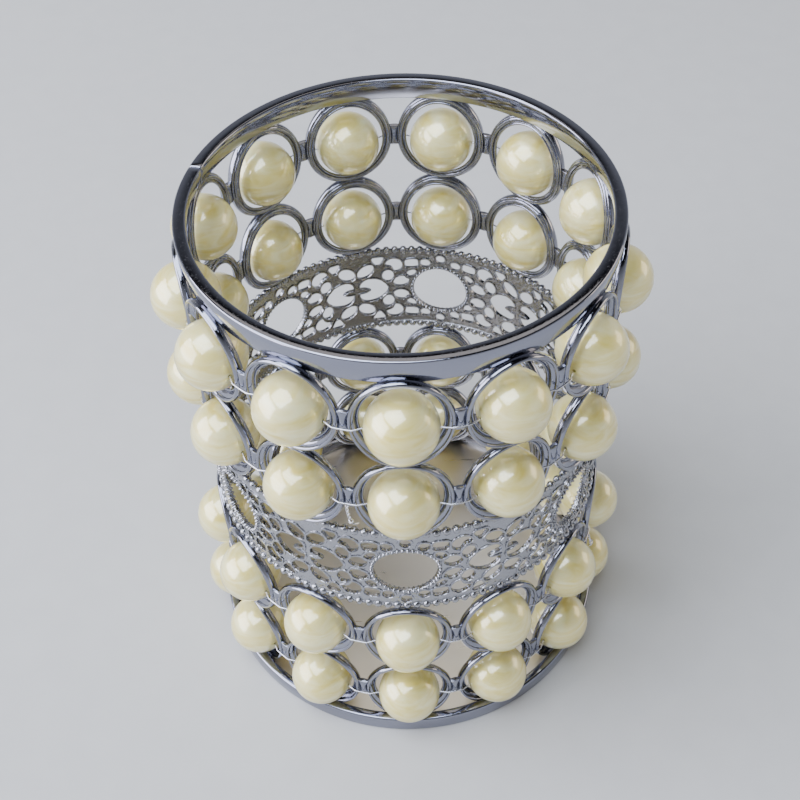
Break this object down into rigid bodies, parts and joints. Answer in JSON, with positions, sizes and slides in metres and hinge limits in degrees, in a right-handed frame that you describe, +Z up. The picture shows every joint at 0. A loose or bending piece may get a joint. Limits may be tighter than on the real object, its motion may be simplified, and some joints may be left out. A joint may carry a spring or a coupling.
{
  "type": "makeup brush holder",
  "caption": "Round openwork metal cup with rows of faux pearls in oval rings, a cast lace band between them and a rim, for standing makeup brushes in.",
  "frame": {"origin": "middle of the underside, on the surface that the cup stands on", "axes": "+Z up along the cup's axis, -Y towards the front of the picture, +X to its right"},
  "size_m": [0.0992, 0.0989, 0.1202],
  "materials": {
    "rim_chrome": "polished plate",
    "frame_chrome": "polished plate",
    "lace_chrome": "cast and plated",
    "base_metal": "bright plate",
    "bead_wire": "bright drawn wire",
    "pearl": "pearlescent"
  },
  "bodies": {
    "cup": {"top_rim": "rim_chrome", "rim_strip": "rim_chrome", "upper_ring_frame": "frame_chrome", "filigree_band": "lace_chrome", "lower_ring_frame": "frame_chrome", "bottom_rim": "rim_chrome", "base_plate": "base_metal", "bead_wires": "bead_wire"},
    "row_1_pearl_01": {"row_1_pearl_01": "pearl"},
    "row_1_pearl_02": {"row_1_pearl_02": "pearl"},
    "row_1_pearl_03": {"row_1_pearl_03": "pearl"},
    "row_1_pearl_04": {"row_1_pearl_04": "pearl"},
    "row_1_pearl_05": {"row_1_pearl_05": "pearl"},
    "row_1_pearl_06": {"row_1_pearl_06": "pearl"},
    "row_1_pearl_07": {"row_1_pearl_07": "pearl"},
    "row_1_pearl_08": {"row_1_pearl_08": "pearl"},
    "row_1_pearl_09": {"row_1_pearl_09": "pearl"},
    "row_1_pearl_10": {"row_1_pearl_10": "pearl"},
    "row_1_pearl_11": {"row_1_pearl_11": "pearl"},
    "row_1_pearl_12": {"row_1_pearl_12": "pearl"},
    "row_1_pearl_13": {"row_1_pearl_13": "pearl"},
    "row_2_pearl_01": {"row_2_pearl_01": "pearl"},
    "row_2_pearl_02": {"row_2_pearl_02": "pearl"},
    "row_2_pearl_03": {"row_2_pearl_03": "pearl"},
    "row_2_pearl_04": {"row_2_pearl_04": "pearl"},
    "row_2_pearl_05": {"row_2_pearl_05": "pearl"},
    "row_2_pearl_06": {"row_2_pearl_06": "pearl"},
    "row_2_pearl_07": {"row_2_pearl_07": "pearl"},
    "row_2_pearl_08": {"row_2_pearl_08": "pearl"},
    "row_2_pearl_09": {"row_2_pearl_09": "pearl"},
    "row_2_pearl_10": {"row_2_pearl_10": "pearl"},
    "row_2_pearl_11": {"row_2_pearl_11": "pearl"},
    "row_2_pearl_12": {"row_2_pearl_12": "pearl"},
    "row_2_pearl_13": {"row_2_pearl_13": "pearl"},
    "row_3_pearl_01": {"row_3_pearl_01": "pearl"},
    "row_3_pearl_02": {"row_3_pearl_02": "pearl"},
    "row_3_pearl_03": {"row_3_pearl_03": "pearl"},
    "row_3_pearl_04": {"row_3_pearl_04": "pearl"},
    "row_3_pearl_05": {"row_3_pearl_05": "pearl"},
    "row_3_pearl_06": {"row_3_pearl_06": "pearl"},
    "row_3_pearl_07": {"row_3_pearl_07": "pearl"},
    "row_3_pearl_08": {"row_3_pearl_08": "pearl"},
    "row_3_pearl_09": {"row_3_pearl_09": "pearl"},
    "row_3_pearl_10": {"row_3_pearl_10": "pearl"},
    "row_3_pearl_11": {"row_3_pearl_11": "pearl"},
    "row_3_pearl_12": {"row_3_pearl_12": "pearl"},
    "row_3_pearl_13": {"row_3_pearl_13": "pearl"},
    "row_4_pearl_01": {"row_4_pearl_01": "pearl"},
    "row_4_pearl_02": {"row_4_pearl_02": "pearl"},
    "row_4_pearl_03": {"row_4_pearl_03": "pearl"},
    "row_4_pearl_04": {"row_4_pearl_04": "pearl"},
    "row_4_pearl_05": {"row_4_pearl_05": "pearl"},
    "row_4_pearl_06": {"row_4_pearl_06": "pearl"},
    "row_4_pearl_07": {"row_4_pearl_07": "pearl"},
    "row_4_pearl_08": {"row_4_pearl_08": "pearl"},
    "row_4_pearl_09": {"row_4_pearl_09": "pearl"},
    "row_4_pearl_10": {"row_4_pearl_10": "pearl"},
    "row_4_pearl_11": {"row_4_pearl_11": "pearl"},
    "row_4_pearl_12": {"row_4_pearl_12": "pearl"},
    "row_4_pearl_13": {"row_4_pearl_13": "pearl"}
  },
  "joints": [
    {"name": "row_1_pearl_01_spin", "type": "hinge", "parent": "cup", "child": "row_1_pearl_01", "pos_m": [-0.03603, -0.02349, 0.10355], "axis": [0.5461, -0.8377, 0], "continuous": true},
    {"name": "row_1_pearl_02_spin", "type": "hinge", "parent": "cup", "child": "row_1_pearl_02", "pos_m": [-0.02078, -0.03765, 0.10355], "axis": [0.8755, -0.4833, 0], "continuous": true},
    {"name": "row_1_pearl_03_spin", "type": "hinge", "parent": "cup", "child": "row_1_pearl_03", "pos_m": [-0.00068, -0.043, 0.10355], "axis": [0.9999, -0.0157, 0], "continuous": true},
    {"name": "row_1_pearl_04_spin", "type": "hinge", "parent": "cup", "child": "row_1_pearl_04", "pos_m": [0.01959, -0.03828, 0.10355], "axis": [0.8902, 0.4555, 0], "continuous": true},
    {"name": "row_1_pearl_05_spin", "type": "hinge", "parent": "cup", "child": "row_1_pearl_05", "pos_m": [0.03527, -0.02461, 0.10355], "axis": [0.5721, 0.8202, 0], "continuous": true},
    {"name": "row_1_pearl_06_spin", "type": "hinge", "parent": "cup", "child": "row_1_pearl_06", "pos_m": [0.04269, -0.00517, 0.10355], "axis": [0.1201, 0.9928, 0], "continuous": true},
    {"name": "row_1_pearl_07_spin", "type": "hinge", "parent": "cup", "child": "row_1_pearl_07", "pos_m": [0.04012, 0.01548, 0.10355], "axis": [-0.36, 0.933, 0], "continuous": true},
    {"name": "row_1_pearl_08_spin", "type": "hinge", "parent": "cup", "child": "row_1_pearl_08", "pos_m": [0.02816, 0.03251, 0.10355], "axis": [-0.7559, 0.6547, 0], "continuous": true},
    {"name": "row_1_pearl_09_spin", "type": "hinge", "parent": "cup", "child": "row_1_pearl_09", "pos_m": [0.0096, 0.04192, 0.10355], "axis": [-0.9748, 0.2233, 0], "continuous": true},
    {"name": "row_1_pearl_10_spin", "type": "hinge", "parent": "cup", "child": "row_1_pearl_10", "pos_m": [-0.0112, 0.04152, 0.10355], "axis": [-0.9655, -0.2605, 0], "continuous": true},
    {"name": "row_1_pearl_11_spin", "type": "hinge", "parent": "cup", "child": "row_1_pearl_11", "pos_m": [-0.02938, 0.0314, 0.10355], "axis": [-0.7302, -0.6833, 0], "continuous": true},
    {"name": "row_1_pearl_12_spin", "type": "hinge", "parent": "cup", "child": "row_1_pearl_12", "pos_m": [-0.04069, 0.01393, 0.10355], "axis": [-0.3239, -0.9461, 0], "continuous": true},
    {"name": "row_1_pearl_13_spin", "type": "hinge", "parent": "cup", "child": "row_1_pearl_13", "pos_m": [-0.04246, -0.0068, 0.10355], "axis": [0.1582, -0.9874, 0], "continuous": true},
    {"name": "row_2_pearl_01_spin", "type": "hinge", "parent": "cup", "child": "row_2_pearl_01", "pos_m": [-0.03603, -0.02349, 0.08175], "axis": [0.5461, -0.8377, 0], "continuous": true},
    {"name": "row_2_pearl_02_spin", "type": "hinge", "parent": "cup", "child": "row_2_pearl_02", "pos_m": [-0.02078, -0.03765, 0.08175], "axis": [0.8755, -0.4833, 0], "continuous": true},
    {"name": "row_2_pearl_03_spin", "type": "hinge", "parent": "cup", "child": "row_2_pearl_03", "pos_m": [-0.00068, -0.043, 0.08175], "axis": [0.9999, -0.0157, 0], "continuous": true},
    {"name": "row_2_pearl_04_spin", "type": "hinge", "parent": "cup", "child": "row_2_pearl_04", "pos_m": [0.01959, -0.03828, 0.08175], "axis": [0.8902, 0.4555, 0], "continuous": true},
    {"name": "row_2_pearl_05_spin", "type": "hinge", "parent": "cup", "child": "row_2_pearl_05", "pos_m": [0.03527, -0.02461, 0.08175], "axis": [0.5721, 0.8202, 0], "continuous": true},
    {"name": "row_2_pearl_06_spin", "type": "hinge", "parent": "cup", "child": "row_2_pearl_06", "pos_m": [0.04269, -0.00517, 0.08175], "axis": [0.1201, 0.9928, 0], "continuous": true},
    {"name": "row_2_pearl_07_spin", "type": "hinge", "parent": "cup", "child": "row_2_pearl_07", "pos_m": [0.04012, 0.01548, 0.08175], "axis": [-0.36, 0.933, 0], "continuous": true},
    {"name": "row_2_pearl_08_spin", "type": "hinge", "parent": "cup", "child": "row_2_pearl_08", "pos_m": [0.02816, 0.03251, 0.08175], "axis": [-0.7559, 0.6547, 0], "continuous": true},
    {"name": "row_2_pearl_09_spin", "type": "hinge", "parent": "cup", "child": "row_2_pearl_09", "pos_m": [0.0096, 0.04192, 0.08175], "axis": [-0.9748, 0.2233, 0], "continuous": true},
    {"name": "row_2_pearl_10_spin", "type": "hinge", "parent": "cup", "child": "row_2_pearl_10", "pos_m": [-0.0112, 0.04152, 0.08175], "axis": [-0.9655, -0.2605, 0], "continuous": true},
    {"name": "row_2_pearl_11_spin", "type": "hinge", "parent": "cup", "child": "row_2_pearl_11", "pos_m": [-0.02938, 0.0314, 0.08175], "axis": [-0.7302, -0.6833, 0], "continuous": true},
    {"name": "row_2_pearl_12_spin", "type": "hinge", "parent": "cup", "child": "row_2_pearl_12", "pos_m": [-0.04069, 0.01393, 0.08175], "axis": [-0.3239, -0.9461, 0], "continuous": true},
    {"name": "row_2_pearl_13_spin", "type": "hinge", "parent": "cup", "child": "row_2_pearl_13", "pos_m": [-0.04246, -0.0068, 0.08175], "axis": [0.1582, -0.9874, 0], "continuous": true},
    {"name": "row_3_pearl_01_spin", "type": "hinge", "parent": "cup", "child": "row_3_pearl_01", "pos_m": [-0.03603, -0.02349, 0.03375], "axis": [0.5461, -0.8377, 0], "continuous": true},
    {"name": "row_3_pearl_02_spin", "type": "hinge", "parent": "cup", "child": "row_3_pearl_02", "pos_m": [-0.02078, -0.03765, 0.03375], "axis": [0.8755, -0.4833, 0], "continuous": true},
    {"name": "row_3_pearl_03_spin", "type": "hinge", "parent": "cup", "child": "row_3_pearl_03", "pos_m": [-0.00068, -0.043, 0.03375], "axis": [0.9999, -0.0157, 0], "continuous": true},
    {"name": "row_3_pearl_04_spin", "type": "hinge", "parent": "cup", "child": "row_3_pearl_04", "pos_m": [0.01959, -0.03828, 0.03375], "axis": [0.8902, 0.4555, 0], "continuous": true},
    {"name": "row_3_pearl_05_spin", "type": "hinge", "parent": "cup", "child": "row_3_pearl_05", "pos_m": [0.03527, -0.02461, 0.03375], "axis": [0.5721, 0.8202, 0], "continuous": true},
    {"name": "row_3_pearl_06_spin", "type": "hinge", "parent": "cup", "child": "row_3_pearl_06", "pos_m": [0.04269, -0.00517, 0.03375], "axis": [0.1201, 0.9928, 0], "continuous": true},
    {"name": "row_3_pearl_07_spin", "type": "hinge", "parent": "cup", "child": "row_3_pearl_07", "pos_m": [0.04012, 0.01548, 0.03375], "axis": [-0.36, 0.933, 0], "continuous": true},
    {"name": "row_3_pearl_08_spin", "type": "hinge", "parent": "cup", "child": "row_3_pearl_08", "pos_m": [0.02816, 0.03251, 0.03375], "axis": [-0.7559, 0.6547, 0], "continuous": true},
    {"name": "row_3_pearl_09_spin", "type": "hinge", "parent": "cup", "child": "row_3_pearl_09", "pos_m": [0.0096, 0.04192, 0.03375], "axis": [-0.9748, 0.2233, 0], "continuous": true},
    {"name": "row_3_pearl_10_spin", "type": "hinge", "parent": "cup", "child": "row_3_pearl_10", "pos_m": [-0.0112, 0.04152, 0.03375], "axis": [-0.9655, -0.2605, 0], "continuous": true},
    {"name": "row_3_pearl_11_spin", "type": "hinge", "parent": "cup", "child": "row_3_pearl_11", "pos_m": [-0.02938, 0.0314, 0.03375], "axis": [-0.7302, -0.6833, 0], "continuous": true},
    {"name": "row_3_pearl_12_spin", "type": "hinge", "parent": "cup", "child": "row_3_pearl_12", "pos_m": [-0.04069, 0.01393, 0.03375], "axis": [-0.3239, -0.9461, 0], "continuous": true},
    {"name": "row_3_pearl_13_spin", "type": "hinge", "parent": "cup", "child": "row_3_pearl_13", "pos_m": [-0.04246, -0.0068, 0.03375], "axis": [0.1582, -0.9874, 0], "continuous": true},
    {"name": "row_4_pearl_01_spin", "type": "hinge", "parent": "cup", "child": "row_4_pearl_01", "pos_m": [-0.03603, -0.02349, 0.01195], "axis": [0.5461, -0.8377, 0], "continuous": true},
    {"name": "row_4_pearl_02_spin", "type": "hinge", "parent": "cup", "child": "row_4_pearl_02", "pos_m": [-0.02078, -0.03765, 0.01195], "axis": [0.8755, -0.4833, 0], "continuous": true},
    {"name": "row_4_pearl_03_spin", "type": "hinge", "parent": "cup", "child": "row_4_pearl_03", "pos_m": [-0.00068, -0.043, 0.01195], "axis": [0.9999, -0.0157, 0], "continuous": true},
    {"name": "row_4_pearl_04_spin", "type": "hinge", "parent": "cup", "child": "row_4_pearl_04", "pos_m": [0.01959, -0.03828, 0.01195], "axis": [0.8902, 0.4555, 0], "continuous": true},
    {"name": "row_4_pearl_05_spin", "type": "hinge", "parent": "cup", "child": "row_4_pearl_05", "pos_m": [0.03527, -0.02461, 0.01195], "axis": [0.5721, 0.8202, 0], "continuous": true},
    {"name": "row_4_pearl_06_spin", "type": "hinge", "parent": "cup", "child": "row_4_pearl_06", "pos_m": [0.04269, -0.00517, 0.01195], "axis": [0.1201, 0.9928, 0], "continuous": true},
    {"name": "row_4_pearl_07_spin", "type": "hinge", "parent": "cup", "child": "row_4_pearl_07", "pos_m": [0.04012, 0.01548, 0.01195], "axis": [-0.36, 0.933, 0], "continuous": true},
    {"name": "row_4_pearl_08_spin", "type": "hinge", "parent": "cup", "child": "row_4_pearl_08", "pos_m": [0.02816, 0.03251, 0.01195], "axis": [-0.7559, 0.6547, 0], "continuous": true},
    {"name": "row_4_pearl_09_spin", "type": "hinge", "parent": "cup", "child": "row_4_pearl_09", "pos_m": [0.0096, 0.04192, 0.01195], "axis": [-0.9748, 0.2233, 0], "continuous": true},
    {"name": "row_4_pearl_10_spin", "type": "hinge", "parent": "cup", "child": "row_4_pearl_10", "pos_m": [-0.0112, 0.04152, 0.01195], "axis": [-0.9655, -0.2605, 0], "continuous": true},
    {"name": "row_4_pearl_11_spin", "type": "hinge", "parent": "cup", "child": "row_4_pearl_11", "pos_m": [-0.02938, 0.0314, 0.01195], "axis": [-0.7302, -0.6833, 0], "continuous": true},
    {"name": "row_4_pearl_12_spin", "type": "hinge", "parent": "cup", "child": "row_4_pearl_12", "pos_m": [-0.04069, 0.01393, 0.01195], "axis": [-0.3239, -0.9461, 0], "continuous": true},
    {"name": "row_4_pearl_13_spin", "type": "hinge", "parent": "cup", "child": "row_4_pearl_13", "pos_m": [-0.04246, -0.0068, 0.01195], "axis": [0.1582, -0.9874, 0], "continuous": true}
  ]
}
